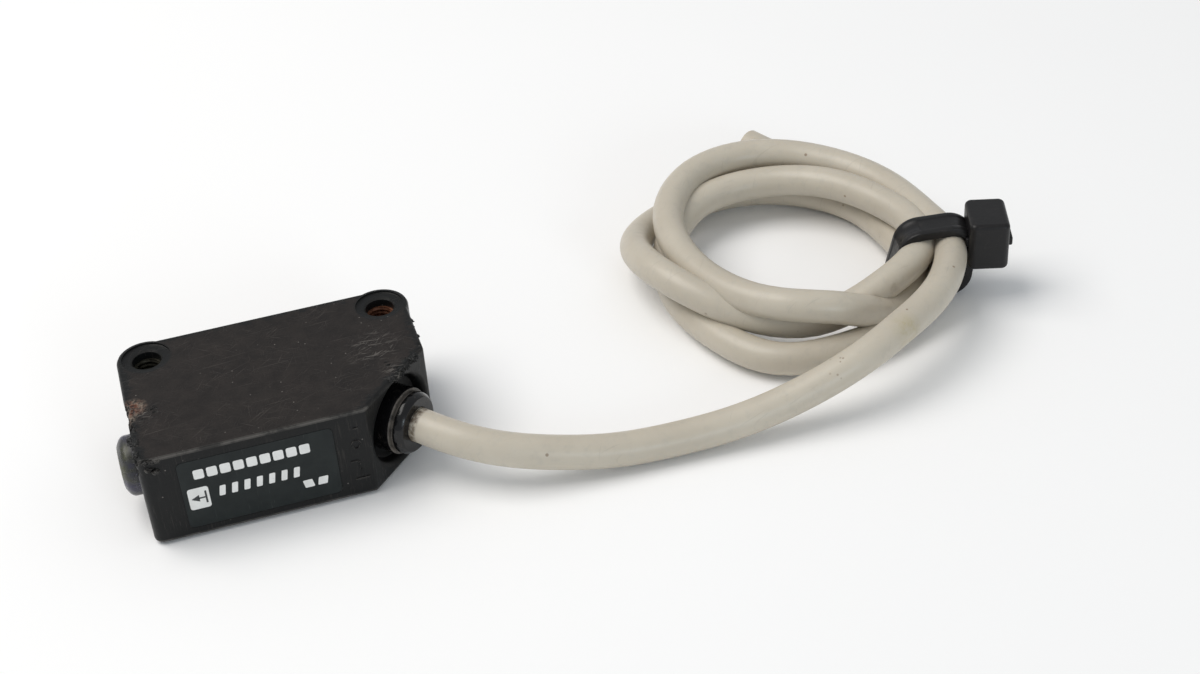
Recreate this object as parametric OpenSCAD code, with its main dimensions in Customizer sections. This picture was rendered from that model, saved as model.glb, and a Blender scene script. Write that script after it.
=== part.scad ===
// Compact through-beam photoelectric emitter: a moulded case with two threaded mounting
// holes, a front window, an indicator cover, and a cable that leaves one cut corner and
// ends in a small tied coil.
//
// Frame: the origin is halfway between the two mounting holes, on the broad face that the
// sensor lies on. +X runs along the case towards the cable end, +Y towards the window,
// and +Z up through the thickness of the case.

/* [Case] */
// Length of the case along X
case_l = 31; // [30.5:0.1:31.5]
// Depth of the case along Y, from name plate to window
case_w = 20; // [20:0.1:20.6]
// Thickness of the case along Z
case_t = 11.2; // [11.2:0.1:11.6]
// Wall thickness of the case
wall = 1.1; // [1:0.05:1.15]
// Leg of the 45 degree corner that the cable leaves
cut_leg = 8; // [7.8:0.1:8.2]
// Radius of the upright corner beside the indicator
corner_r = 1; // [0.8:0.1:1.6]

/* [Mounting holes] */
// Distance between the two mounting holes
hole_pitch = 25.4; // [25.2:0.1:25.6]
// Distance from each hole to the window face and to its end face
ear_r = 2.8; // [2.7:0.1:2.9]
// Tapping radius of the threaded inserts
thread_r = 1.25; // [1.2:0.05:1.35]
// Radius of the plain mouth in the plastic
mouth_r = 1.55; // [1.5:0.05:1.6]
// Outer radius of the inserts
insert_r = 2.1; // [2:0.05:2.15]

/* [Window and optics] */
// Width of the front window
window_l = 19.4; // [19:0.1:19.5]
// Thickness of the front window
window_t = 1.2; // [1:0.1:1.2]
// Radius of the collimating lens
lens_r = 3.6; // [3.4:0.1:3.7]
// Radius of the light passage in the barrel
passage_r = 3; // [2.8:0.1:3.1]

/* [Indicator] */
// Radius of the indicator cover
cover_r = 3.2; // [3:0.1:3.3]
// Height of the indicator cover above the end face
cover_h = 2.1; // [2:0.1:2.3]
// Distance from the mounting hole line back to the indicator
cover_back = 10.3; // [10:0.1:10.6]

/* [Cable] */
// Outer diameter of the cable
cable_d = 3.7; // [3.6:0.05:3.8]
// Radius of the larger gland ring
gland_r = 3.6; // [3.5:0.05:3.7]
// Distance that the gland stands out from the cut corner
gland_out = 2.2; // [2:0.1:2.4]
// Diameter of one insulated core
core_d = 1.1; // [1:0.05:1.1]

/* [Cable tie] */
// Width of the tie's strap
strap_w = 3.6; // [3.4:0.1:4]
// Thickness of the tie's strap
strap_t = 1.1; // [1:0.05:1.2]
// Length of the tie's head along the strap's pull
head_l = 4.6; // [4.4:0.1:4.8]

/* [Hidden] */

$fn = 64;
eps = 0.01;
air = 0.05;

// Case outline and inner space
hole_x = hole_pitch / 2;
end_x = case_l / 2;
front_y = ear_r;
back_y = ear_r - case_w;
mid_z = case_t / 2;
inner_t = case_t - 2 * wall;
throat_x = 9.4;
boss_back = -4.2;
sides = [-1, 1];

// Mounting holes
insert_end = 1.3;
insert_len = case_t - 2 * insert_end;
recess_r = 2.6;
recess_d = 0.25;
groove_d = 0.25;

// Window, seal and optics
gasket_t = 0.4;
window_h = case_t - 1.7;
window_r = 0.8;
seal_rim = 0.9;
window_back = front_y - window_t;
seal_back = window_back - gasket_t;
barrel_front = seal_back - 0.1;
barrel_back = -8;
barrel_x = 5.2;
barrel_h = 8.6;
lens_front = barrel_front - 0.1;
lens_t = 2.3;
lens_edge = 0.8;
led_pocket = 0.8;
led_pocket_x = 3.1;
led_pocket_h = 5.4;
plate_t = 0.2;
plate_hole_r = 0.95;

// Boards and the parts on them
board_t = 0.8;
led_board_x = 5;
led_board_h = 8;
led_board_back = barrel_back - board_t;
board_x0 = -9;
board_x1 = 4.9;
board_y0 = -15.6;
board_y1 = -9;
board_z = 3;
top_z = board_z + board_t;
pin_w = 0.4;
pin_pitch = 1.27;
pin_count = 4;
post_w = 1.2;

// Gland: distances along its axis are measured outwards from the cut corner's face
gland_x = end_x - cut_leg / 2;
gland_y = back_y + cut_leg / 2;
gland_turn = -45;
cable_r = cable_d / 2;
pocket_r = 5.3;
pocket_d = 1.3;
neck_r = 2.9;
neck_in = 2.6;
flange_in = 3.4;
flange_r = 3.5;
ring_gap0 = 0.8;
ring_gap1 = 1.05;
ring_gap_r = 3.1;
nose_r = 3.35;
nose_tip_r = 3;
nose_taper = 0.5;
clamp_in = 3.9;
clamp_t = 0.4;
tail_in = 4.2;

// Indicator
seat_d = 0.3;
cover_wall = 0.7;
cover_round = 0.8;
cover_step_r = 2.9;
cover_top_r = 2.2;
plug_r = 2.2;
guide_r = 1.1;
guide_out = 1.1;

// Name label
label_x0 = -12.1;
label_x1 = 3.9;
label_z0 = 1.2;
label_z1 = 9.8;
label_t = 0.1;
label_r = 0.6;

// Route of the cable from the gland to the coil
LEAD = [[13.06, -14.76, 5.6], [16.4, -18, 5.2], [20.5, -20.3, 4.4], [26, -21.6, 3.2],
    [32, -22.3, 2.2], [39, -22.6, 1.9], [46, -22.8, 2.4], [52, -22.7, 3.6],
    [57.5, -22.3, 5.2], [62, -21.2, 6.4], [66, -19.3, 7], [69, -17.4, 7]];
LEAD_SIDES = 8;
CORE_SIDES = 8;
BROWN = [[9.1, -9.66, 5.6], [8.4, -9.1, 5.6], [7.2, -9, 5.4], [5.8, -9.8, 4.9],
    [4.6, -10.8, 4.4], [3.6, -10.8, 4.4]];
BLUE = [[7.96, -10.8, 5.6], [7.3, -10.3, 5.6], [6.2, -11.1, 5.2], [5, -12.8, 4.4],
    [3.6, -12.8, 4.4]];

// Coil: the farthest reach of its outside and inside, east, north, west and south
coil_h = 9.2;
OUT_E = [79.4, 1];
OUT_N = [64, 32];
OUT_W = [42.2, 4];
OUT_S = [60, -17.3];
IN_E = [70.2, 2];
IN_N = [62, 15.6];
IN_W = [52, 5];
IN_S = [62, -8];
arc_steps = 12;
entry_dir = LEAD[11] - LEAD[10];
entry_turn = atan2(entry_dir[1], entry_dir[0]) + 10;
entry_len = 5;

// Tie: its own frame stands at the middle of the strands, with X across them
tie_pos = [74.8, -5.4, 0];
tie_turn = -12;
STRANDS = [[-1.2, 2.95], [2.4, 2.95], [2.8, 6.4], [-0.3, 6.05]];
belt_steps = 12;
head_x = 4.7;
head_w = 6;
head_h = 6;
head_z = 4.5;
head_r = 0.7;
stub_l = 0.5;
stub_z = 7.4;

// ---------- shared shapes ----------

// A flat rectangle with round corners, centred
module round_rect(w, h, r) {
    square([w - 2 * r, h], center = true);
    square([w, h - 2 * r], center = true);
    for (sx = sides, sy = sides)
        translate([sx * (w / 2 - r), sy * (h / 2 - r)]) circle(r);
}

// A plate with round corners in the XZ plane, from y0 towards +Y
module upright_plate(w, h, t, r, y0) {
    translate([0, y0 + t, mid_z]) rotate([90, 0, 0]) linear_extrude(t) round_rect(w, h, r);
}

// A block given by its low corner and its size
module block(low, size) {
    translate(low) cube(size);
}

// Children stand on the cut corner's face, with their Z axis along the gland
module on_gland() {
    translate([gland_x, gland_y, mid_z]) rotate([0, 90, gland_turn]) children();
}

// A cylinder along the gland's axis, from s0 to s1
module gland_disc(r, s0, s1, r_end = undef) {
    translate([0, 0, s0]) cylinder(h = s1 - s0, r1 = r, r2 = is_undef(r_end) ? r : r_end);
}

// Children have their Z axis along -X, out of the indicator's end face
module on_indicator() {
    translate([-end_x, -cover_back, mid_z]) rotate([0, -90, 0]) children();
}

// Unit vector, and the direction of a route at point i
function unit(v) = v / norm(v);
function heading(path, i) =
    unit(path[min(i + 1, len(path) - 1)] - path[max(i - 1, 0)]);

// One ring of points around a route
function ring(path, i, r, n) =
    let (d = heading(path, i),
         side = unit(cross([0, 0, 1], d)),
         up = cross(d, side))
    [for (k = [0:n - 1]) path[i] + r * (cos(360 * k / n) * side + sin(360 * k / n) * up)];

// A round tube swept along a route
module sweep(path, r, n) {
    rings = len(path);
    points = [for (i = [0:rings - 1]) each ring(path, i, r, n)];
    walls = [for (i = [0:rings - 2], k = [0:n - 1])
        [i * n + k, i * n + (k + 1) % n, (i + 1) * n + (k + 1) % n, (i + 1) * n + k]];
    first = [for (k = [0:n - 1]) n - 1 - k];
    last = [for (k = [0:n - 1]) (rings - 1) * n + k];
    polyhedron(points, [for (f = concat([first, last], walls)) [for (j = f) j]], convexity = 10);
}

// Quarter of an ellipse from one farthest point to the next, anticlockwise.
// The first point heads along Y where along_y is true, and along X where it is not.
function quarter(a, b, along_y) =
    let (c = along_y ? [b[0], a[1]] : [a[0], b[1]])
    [for (i = [0:arc_steps - 1]) let (t = 90 * i / arc_steps)
        c + (a - c) * cos(t) + (b - c) * sin(t)];

// Outline of a belt that runs r away round the four strands in the tie
function belt(r) = [for (i = [0:3])
    let (p = STRANDS[i],
         before = p - STRANDS[(i + 3) % 4],
         after = STRANDS[(i + 1) % 4] - p,
         a0 = atan2(before[1], before[0]) - 90,
         turn = (atan2(after[1], after[0]) - 90 - a0 + 720) % 360)
    for (k = [0:belt_steps]) let (a = a0 + turn * k / belt_steps) p + r * [cos(a), sin(a)]];

// Closed outline through its east, north, west and south farthest points
function loop_outline(e, n, w, s) =
    concat(quarter(e, n, true), quarter(n, w, false), quarter(w, s, true), quarter(s, e, false));

// ---------- case ----------

module case_outline() {
    polygon([[-end_x, 0], [-end_x, back_y + corner_r], [-end_x + corner_r, back_y],
        [end_x - cut_leg, back_y], [end_x, back_y + cut_leg], [end_x, 0],
        [hole_x, front_y], [-hole_x, front_y]]);
    for (s = sides) translate([s * hole_x, 0]) circle(ear_r);
    translate([-end_x + corner_r, back_y + corner_r]) circle(corner_r);
}

module cavity_outline() {
    in_x = end_x - wall;
    in_y = back_y + wall;
    cut = end_x - back_y - cut_leg - neck_in * sqrt(2);
    polygon([[-in_x, boss_back], [-in_x, in_y], [cut + in_y, in_y], [in_x, in_x - cut],
        [in_x, boss_back], [throat_x, boss_back], [throat_x, front_y + 1],
        [-throat_x, front_y + 1], [-throat_x, boss_back]]);
}

// Small posts that the main board lies on
module board_posts() {
    for (x = [board_x0 + 0.3, board_x1 - post_w - 0.3], y = [board_y0 + 0.3, board_y1 - post_w - 0.3])
        block([x, y, wall - eps], [post_w, post_w, board_z - wall + eps]);
}

module case() {
    color([0.13, 0.12, 0.115]) {
        difference() {
            linear_extrude(case_t) case_outline();
            translate([0, 0, wall]) linear_extrude(inner_t) cavity_outline();
            upright_plate(window_l + 2 * air, window_h + 2 * air, window_t + gasket_t + 1,
                window_r, seal_back);
            for (s = sides) translate([s * hole_x, 0, 0]) {
                translate([0, 0, -1]) cylinder(h = case_t + 2, r = mouth_r);
                translate([0, 0, insert_end]) cylinder(h = insert_len, r = insert_r);
                translate([0, 0, -1]) cylinder(h = 1 + recess_d, r = recess_r);
                translate([0, 0, case_t - recess_d]) cylinder(h = 1 + recess_d, r = recess_r);
            }
            on_gland() {
                gland_disc(pocket_r, -pocket_d, pocket_r);
                gland_disc(neck_r, -neck_in - 1, 0);
            }
            on_indicator() {
                translate([0, 0, -seat_d]) cylinder(h = seat_d + 1, r = cover_r + air);
                translate([0, 0, -wall - 1]) cylinder(h = wall + 2, r = plug_r + air);
            }
            block([label_x0 - air, back_y - 1, label_z0 - air],
                [label_x1 - label_x0 + 2 * air, 1 + label_t, label_z1 - label_z0 + 2 * air]);
        }
        board_posts();
    }
}

module thread_inserts() {
    color([0.45, 0.27, 0.16]) for (s = sides) translate([s * hole_x, 0, insert_end]) difference() {
        cylinder(h = insert_len, r = insert_r);
        translate([0, 0, -1]) cylinder(h = insert_len + 2, r = thread_r);
        translate([0, 0, insert_len / 2 - 0.6]) difference() {
            cylinder(h = 1.2, r = insert_r + 1);
            translate([0, 0, -1]) cylinder(h = 3.2, r = insert_r - groove_d);
        }
    }
}

module name_label() {
    color([0.14, 0.17, 0.17])
        translate([(label_x0 + label_x1) / 2, back_y + label_t, (label_z0 + label_z1) / 2])
            rotate([90, 0, 0]) linear_extrude(label_t)
                round_rect(label_x1 - label_x0, label_z1 - label_z0, label_r);
}

// ---------- window and optics ----------

module front_window() {
    color([0.25, 0.03, 0.03, 0.8]) {
        upright_plate(window_l, window_h, window_t, window_r - air, window_back);
        translate([0, window_back + eps, mid_z]) rotate([90, 0, 0]) cylinder(h = 0.3, r = lens_r);
    }
}

module window_gasket() {
    color([0.2, 0.2, 0.2]) difference() {
        upright_plate(window_l, window_h, gasket_t, window_r - air, seal_back);
        upright_plate(window_l - 2 * seal_rim, window_h - 2 * seal_rim, gasket_t + 2,
            window_r - air, seal_back - 1);
    }
}

module lens_barrel() {
    color([0.08, 0.08, 0.08]) difference() {
        block([-barrel_x, barrel_back, mid_z - barrel_h / 2],
            [2 * barrel_x, barrel_front - barrel_back, barrel_h]);
        translate([0, barrel_front + 1, mid_z]) rotate([90, 0, 0])
            cylinder(h = lens_t + 1.2, r = lens_r + air);
        translate([0, barrel_front + 1, mid_z]) rotate([90, 0, 0])
            cylinder(h = barrel_front - barrel_back + 2, r = passage_r);
        block([-led_pocket_x, barrel_back - 1, mid_z - led_pocket_h / 2],
            [2 * led_pocket_x, led_pocket + 1, led_pocket_h]);
    }
}

module collimating_lens() {
    bulge = lens_t - lens_edge;
    ball_r = (pow(lens_r, 2) + pow(bulge, 2)) / (2 * bulge);
    color([0.85, 0.88, 0.9, 0.5]) translate([0, lens_front, mid_z]) rotate([90, 0, 0])
        intersection() {
            cylinder(h = lens_t, r = lens_r);
            translate([0, 0, ball_r]) sphere(ball_r, $fn = 96);
        }
}

module aperture_plate() {
    plate_back = barrel_back + led_pocket - plate_t;
    color([0.6, 0.6, 0.62]) difference() {
        upright_plate(2 * led_pocket_x - 0.2, led_pocket_h - 0.2, plate_t, 0.3, plate_back);
        translate([0, plate_back + 1, mid_z]) rotate([90, 0, 0]) cylinder(h = 2, r = plate_hole_r);
    }
}

module emitter_led() {
    led_t = led_pocket - plate_t;
    color([0.9, 0.85, 0.8, 0.8]) {
        block([-1.6, barrel_back, mid_z - 1.4], [3.2, led_t, 2.8]);
        translate([0, barrel_back + led_t - 0.3, mid_z]) sphere(plate_hole_r - 0.1);
    }
}

module led_board() {
    color([0.1, 0.3, 0.16])
        block([-led_board_x, led_board_back, mid_z - led_board_h / 2],
            [2 * led_board_x, board_t, led_board_h]);
}

// ---------- main board and its parts ----------

module main_board() {
    color([0.1, 0.32, 0.17])
        block([board_x0, board_y0, board_z], [board_x1 - board_x0, board_y1 - board_y0, board_t]);
}

module board_link_pins() {
    color([0.8, 0.7, 0.4]) for (i = [0:pin_count - 1])
        translate([(i - (pin_count - 1) / 2) * pin_pitch - pin_w / 2, 0, 0]) {
            block([0, board_y1 - 0.8, top_z + 0.5], [pin_w, led_board_back - board_y1 + 0.8, pin_w]);
            block([0, board_y1 - 0.8, top_z], [pin_w, pin_w, 0.5 + eps]);
        }
}

module driver_ic() {
    color([0.07, 0.07, 0.08]) translate([-2, -12.6, top_z]) {
        block([-2.45, -1.95, 0.15], [4.9, 3.9, 1.4]);
        for (s = sides, i = [-1.5:1:1.5]) translate([i * 1.27, s * 1.95, 0]) {
            block([-0.2, s > 0 ? 0.25 : -0.65, 0], [0.4, 0.4, 0.15]);
            block([-0.2, s > 0 ? 0 : -0.4, 0], [0.4, 0.4, 0.7]);
        }
    }
}

// A chip part: a body between two end caps
module chip(size) {
    cap = size[0] * 0.2;
    block([-size[0] / 2 + cap / 2, -size[1] / 2 + 0.02, 0], [size[0] - cap, size[1] - 0.04, size[2] - 0.02]);
    for (s = sides) block([s > 0 ? size[0] / 2 - cap : -size[0] / 2, -size[1] / 2, 0],
        [cap, size[1], size[2]]);
}

module chip_resistors() {
    color([0.1, 0.1, 0.12]) for (p = [[-7.9, -12.4], [-6.1, -12.4], [-7.9, -15], [3.2, -14]])
        translate([p[0], p[1], top_z]) chip([1.2, 0.6, 0.4]);
}

module chip_capacitors() {
    color([0.72, 0.6, 0.42]) for (p = [[-6, -10.2], [-6, -11.3], [-5.6, -15]])
        translate([p[0], p[1], top_z]) chip([1.6, 0.8, 0.8]);
}

module tantalum_capacitor() {
    color([0.85, 0.65, 0.2]) {
        block([-8.7, -14.4, top_z + 0.1], [3.4, 1.6, 1.5]);
        for (x = [-8.75, -5.75]) block([x, -14.2, top_z], [0.5, 1.2, 0.6]);
    }
}

module polarity_diode() {
    color([0.09, 0.09, 0.1]) {
        block([1.4, -15.4, top_z + 0.05], [2.6, 0.9, 0.9]);
        for (x = [1.1, 3.9]) block([x, -15.3, top_z], [0.4, 0.7, 0.4]);
    }
}

module indicator_led() {
    color([0.9, 0.9, 0.85]) block([board_x0 + 0.1, -cover_back - 1, top_z], [1.1, 2, 2.6]);
}

module light_guide() {
    color([0.85, 0.9, 0.92, 0.6]) translate([board_x0, -cover_back, mid_z]) rotate([0, -90, 0])
        cylinder(h = end_x + board_x0 + guide_out - air, r = guide_r);
}

module indicator_cover() {
    side_h = cover_h - cover_round;
    step_h = cover_round / 2;
    color([0.35, 0.35, 0.4, 0.7]) on_indicator() difference() {
        union() {
            translate([0, 0, -seat_d]) cylinder(h = seat_d + side_h, r = cover_r);
            translate([0, 0, -wall]) cylinder(h = wall, r = plug_r);
            translate([0, 0, side_h]) cylinder(h = step_h, r1 = cover_r, r2 = cover_step_r);
            translate([0, 0, side_h + step_h]) cylinder(h = step_h, r1 = cover_step_r, r2 = cover_top_r);
        }
        translate([0, 0, -wall - 1]) cylinder(h = wall + 1 + guide_out, r = guide_r + air);
        cylinder(h = cover_h - 2 * cover_wall, r = cover_r - 2 * cover_wall);
    }
}

// ---------- cable ----------

module cable_gland() {
    color([0.05, 0.05, 0.055]) on_gland() difference() {
        union() {
            gland_disc(flange_r, -flange_in, -neck_in);
            gland_disc(neck_r, -neck_in, -pocket_d);
            gland_disc(gland_r, -pocket_d, ring_gap0);
            gland_disc(ring_gap_r, ring_gap0, ring_gap1);
            gland_disc(nose_r, ring_gap1, gland_out - nose_taper);
            gland_disc(nose_r, gland_out - nose_taper, gland_out, nose_tip_r);
        }
        gland_disc(cable_r, -flange_in - 1, gland_out + 1);
    }
}

module cable_clamp() {
    color([0.75, 0.72, 0.6]) on_gland() difference() {
        gland_disc(cable_r + clamp_t, -clamp_in, -flange_in);
        gland_disc(cable_r, -clamp_in - 1, -flange_in + 1);
    }
}

module cable_tail() {
    color([0.68, 0.64, 0.58]) on_gland() gland_disc(cable_r, -tail_in, gland_out);
}

module brown_core() {
    color([0.35, 0.2, 0.1]) sweep(BROWN, core_d / 2, CORE_SIDES);
}

module blue_core() {
    color([0.1, 0.2, 0.5]) sweep(BLUE, core_d / 2, CORE_SIDES);
}

module solder_joints() {
    color([0.75, 0.75, 0.78]) for (route = [BROWN, BLUE]) {
        tip = route[len(route) - 1];
        block([tip[0] - 1, tip[1] - 0.5, top_z], [1, 1, 1]);
    }
}

module cable_lead() {
    color([0.72, 0.68, 0.6]) sweep(LEAD, cable_r, LEAD_SIDES);
}

// Children stand in the tie's own frame
module on_tie() {
    translate(tie_pos) rotate([0, 0, tie_turn]) children();
}

// A slab of the given width with the outline of a belt
module belt_slab(r, w) {
    on_tie() translate([0, w / 2, 0]) rotate([90, 0, 0]) linear_extrude(w) polygon(belt(r));
}

// The whole coil as one closed ring, pinched where the tie holds it
module cable_coil() {
    color([0.7, 0.66, 0.58]) {
        difference() {
            linear_extrude(coil_h) difference() {
                polygon(loop_outline(OUT_E, OUT_N, OUT_W, OUT_S));
                polygon(loop_outline(IN_E, IN_N, IN_W, IN_S));
            }
            on_tie() block([STRANDS[0][0] - cable_r - strap_t - air, -strap_w / 2 - air, -1],
                [coil_h, strap_w + 2 * air, coil_h + 2]);
            on_tie() block([head_x - air, -head_w / 2 - air, head_z - air],
                [head_l + 1, head_w + 2 * air, head_h]);
        }
        belt_slab(cable_r - air, strap_w + 4 * air);
        translate(LEAD[11]) rotate([0, 0, entry_turn])
            block([0, -cable_r, -cable_r], [entry_len, cable_d, cable_d]);
    }
}

module cable_tie() {
    color([0.06, 0.06, 0.065]) difference() {
        union() {
            belt_slab(cable_r + strap_t, strap_w);
            on_tie() translate([head_x + head_l / 2, head_w / 2, head_z + head_h / 2])
                rotate([90, 0, 0]) linear_extrude(head_w) round_rect(head_l, head_h, head_r);
            on_tie() block([head_x + head_l - eps, -strap_w / 2, stub_z], [stub_l + eps, strap_w, strap_t]);
        }
        belt_slab(cable_r, head_w + 1);
    }
}

case();
front_window();
window_gasket();
collimating_lens();
lens_barrel();
aperture_plate();
emitter_led();
led_board();
board_link_pins();
main_board();
driver_ic();
chip_resistors();
chip_capacitors();
tantalum_capacitor();
polarity_diode();
indicator_led();
light_guide();
indicator_cover();
thread_inserts();
cable_gland();
cable_clamp();
cable_tail();
brown_core();
blue_core();
solder_joints();
name_label();
cable_lead();
cable_coil();
cable_tie();
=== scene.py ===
import math
import random

import bmesh
import bpy
import numpy as np
from mathutils import Matrix, Vector, noise


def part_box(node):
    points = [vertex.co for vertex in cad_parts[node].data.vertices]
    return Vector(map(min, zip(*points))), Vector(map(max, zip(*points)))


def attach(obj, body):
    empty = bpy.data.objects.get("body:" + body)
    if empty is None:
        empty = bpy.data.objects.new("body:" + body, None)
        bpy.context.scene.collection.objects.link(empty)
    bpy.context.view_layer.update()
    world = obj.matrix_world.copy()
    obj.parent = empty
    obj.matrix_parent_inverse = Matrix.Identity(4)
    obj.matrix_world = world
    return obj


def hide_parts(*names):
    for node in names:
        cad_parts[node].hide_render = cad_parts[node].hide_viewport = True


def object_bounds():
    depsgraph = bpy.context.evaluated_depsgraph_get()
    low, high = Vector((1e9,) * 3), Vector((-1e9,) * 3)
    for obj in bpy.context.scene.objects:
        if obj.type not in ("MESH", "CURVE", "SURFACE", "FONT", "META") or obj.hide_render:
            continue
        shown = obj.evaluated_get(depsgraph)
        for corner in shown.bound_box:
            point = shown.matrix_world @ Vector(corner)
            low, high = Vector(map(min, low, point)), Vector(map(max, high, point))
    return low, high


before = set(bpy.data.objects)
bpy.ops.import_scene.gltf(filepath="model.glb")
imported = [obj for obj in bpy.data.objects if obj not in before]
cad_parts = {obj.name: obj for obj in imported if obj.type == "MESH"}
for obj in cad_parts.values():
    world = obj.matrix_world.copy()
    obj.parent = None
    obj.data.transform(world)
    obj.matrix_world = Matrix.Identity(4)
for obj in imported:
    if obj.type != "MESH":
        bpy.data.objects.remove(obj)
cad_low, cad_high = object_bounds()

# A compact photoelectric emitter: case, window, indicator, gland, and a cable that ends in a
# small coil held by a tie. Lengths are written in millimetres and turned into metres by MM.
MM = 0.001
ROOT = "root"


def mm(*values):
    return Vector(values) * MM


# The case: where its holes and its indicator are, and the leg of its cut corner
HOLES_X = (-12.7, 12.7)
INDICATOR_Y = -10.3
CUT_LEG = 8.0

# ---------------------------------------------------------------- camera
CAMERA_AT = mm(-8.42, -177.29, 137.93)
CAMERA_TURN = math.radians(14.42)
CAMERA_DIP = math.radians(37.02)
CAMERA_ROLL = math.radians(-4.43)
LENS = 60
SENSOR = 36


def make_camera():
    ahead = Vector((math.sin(CAMERA_TURN) * math.cos(CAMERA_DIP),
                    math.cos(CAMERA_TURN) * math.cos(CAMERA_DIP), -math.sin(CAMERA_DIP)))
    level = Vector((math.cos(CAMERA_TURN), -math.sin(CAMERA_TURN), 0))
    over = level.cross(ahead)
    right = math.cos(CAMERA_ROLL) * level + math.sin(CAMERA_ROLL) * over
    up = right.cross(ahead)
    data = bpy.data.cameras.new("camera")
    data.lens = LENS
    data.sensor_width = SENSOR
    data.clip_start = 0.01
    camera = bpy.data.objects.new("camera", data)
    axes = Matrix((right, up, -ahead)).transposed()
    camera.matrix_world = Matrix.Translation(CAMERA_AT) @ axes.to_4x4()
    bpy.context.scene.collection.objects.link(camera)
    bpy.context.scene.camera = camera


make_camera()

# ---------------------------------------------------------------- cable route
CABLE_D = 3.7
GLAND_EXIT = mm(13.06, -14.76, 5.6)
# From the gland to the coil, as in the CAD model
LEAD = [(13.06, -14.76, 5.6), (16.4, -18, 5.2), (20.5, -20.3, 4.4), (26, -21.6, 3.2),
        (32, -22.3, 2.2), (39, -22.6, 1.9), (46, -22.8, 2.4), (52, -22.7, 3.6),
        (57.5, -22.3, 5.2), (62, -21.2, 6.4), (66, -19.3, 7), (69, -17.4, 7)]
# From there into the tie
JOIN = [(72, -15, 7), (75.2, -11, 6.6)]
# Where the tie stands, how it is turned, and the (x, height) of each strand inside it
TIE_MIDDLE = (74.8, -5.4)
TIE_TURN = math.radians(-12)
STRANDS = [(-1.2, 2.95), (2.4, 2.95), (2.8, 6.4), (-0.45, 6.2)]
# The coil winds anticlockwise from the tie. Each turn is an ellipse in plan, and starts as one of
# the tie's strands. Its rises are (degrees past the tie, height). From DRAWN_FROM degrees on, the
# strap draws a turn over towards the strand that it becomes.
TIE_ANGLE = -36
STEPS_A_TURN = 12
DRAWN_FROM = 270
TURNS = [
    # the outer turn that stands on the others
    {"strand": 2, "middle": (63, 2.9), "along": 17.8, "across": 14.3, "lean": -75,
     "rises": [(60, 5.8), (150, 6.5), (240, 6.4), (270, 7), (300, 6.2), (330, 2.9)]},
    # the turn that starts low and rises to the left
    {"strand": 0, "middle": (59.4, 4.8), "along": 15.4, "across": 14.6, "lean": -30,
     "rises": [(60, 2.1), (150, 1.9), (240, 6.3), (300, 3.4), (330, 5.6)]},
    # the inner turn that comes down to the floor
    {"strand": 3, "middle": (61.2, -0.5), "along": 17.3, "across": 13.9, "lean": -75,
     "rises": [(60, 6), (150, 4.4), (210, 2.1), (330, 2)]},
]
END_STRAND = 1
# The bare end lies under the outer turn
END = [(78.2, 0, 2.3), (77.8, 7.2, 1.9), (75.9, 13.6, 1.9), (72.6, 19.2, 1.9),
       (69.2, 24.2, 1.9), (66.4, 29.6, 1.9)]


def strand_point(number):
    """Where the tie holds a strand."""
    x, height = STRANDS[number]
    return (TIE_MIDDLE[0] + x * math.cos(TIE_TURN), TIE_MIDDLE[1] + x * math.sin(TIE_TURN), height)


def height_at(rises, passed):
    """The height at passed degrees, eased from each rise to the next."""
    for (a0, z0), (a1, z1) in zip(rises, rises[1:]):
        if passed <= a1:
            return z0 + (z1 - z0) * (1 - math.cos(math.pi * (passed - a0) / (a1 - a0))) / 2
    return rises[-1][1]


def ellipse_point(turn, passed):
    """A turn's place in plan at passed degrees from the tie."""
    lean = math.radians(turn["lean"])
    a = math.radians(TIE_ANGLE + passed) - lean
    along, across = turn["along"] * math.cos(a), turn["across"] * math.sin(a)
    return (turn["middle"][0] + along * math.cos(lean) - across * math.sin(lean),
            turn["middle"][1] + along * math.sin(lean) + across * math.cos(lean))


def coil_points():
    points = []
    held = [strand_point(turn["strand"]) for turn in TURNS] + [strand_point(END_STRAND)]
    for turn, start, after in zip(TURNS, held, held[1:]):
        points.append(start)
        rises = [(0, start[2])] + turn["rises"]
        back_x, back_y = ellipse_point(turn, 360)
        for step in range(1, STEPS_A_TURN):
            passed = 360 * step / STEPS_A_TURN
            x, y = ellipse_point(turn, passed)
            drawn = math.sin(math.pi / 2 * max(0, passed - DRAWN_FROM) / (360 - DRAWN_FROM))
            points.append((x + drawn * (after[0] - back_x), y + drawn * (after[1] - back_y),
                           height_at(rises, passed)))
    return points + held[-1:]


def smooth_line(points, fine=6):
    """Natural cubic spline through points, with fine steps from each to the next."""
    p = np.array(points, float)
    gap = np.linalg.norm(np.diff(p, axis=0), axis=1)
    n = len(p)
    system, right = np.zeros((n, n)), np.zeros((n, 3))
    system[0, 0] = system[-1, -1] = 1
    for i in range(1, n - 1):
        system[i, i - 1:i + 2] = gap[i - 1], 2 * (gap[i - 1] + gap[i]), gap[i]
        right[i] = 6 * ((p[i + 1] - p[i]) / gap[i] - (p[i] - p[i - 1]) / gap[i - 1])
    bend = np.linalg.solve(system, right)
    line = []
    for i in range(n - 1):
        h = gap[i]
        for k in range(fine):
            t = h * k / fine
            u = h - t
            line.append((bend[i] * u ** 3 + bend[i + 1] * t ** 3) / (6 * h)
                        + (p[i] / h - bend[i] * h / 6) * u
                        + (p[i + 1] / h - bend[i + 1] * h / 6) * t)
    line.append(p[-1])
    return np.array(line)


cable_line = smooth_line(LEAD + JOIN + coil_points() + END)


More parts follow.
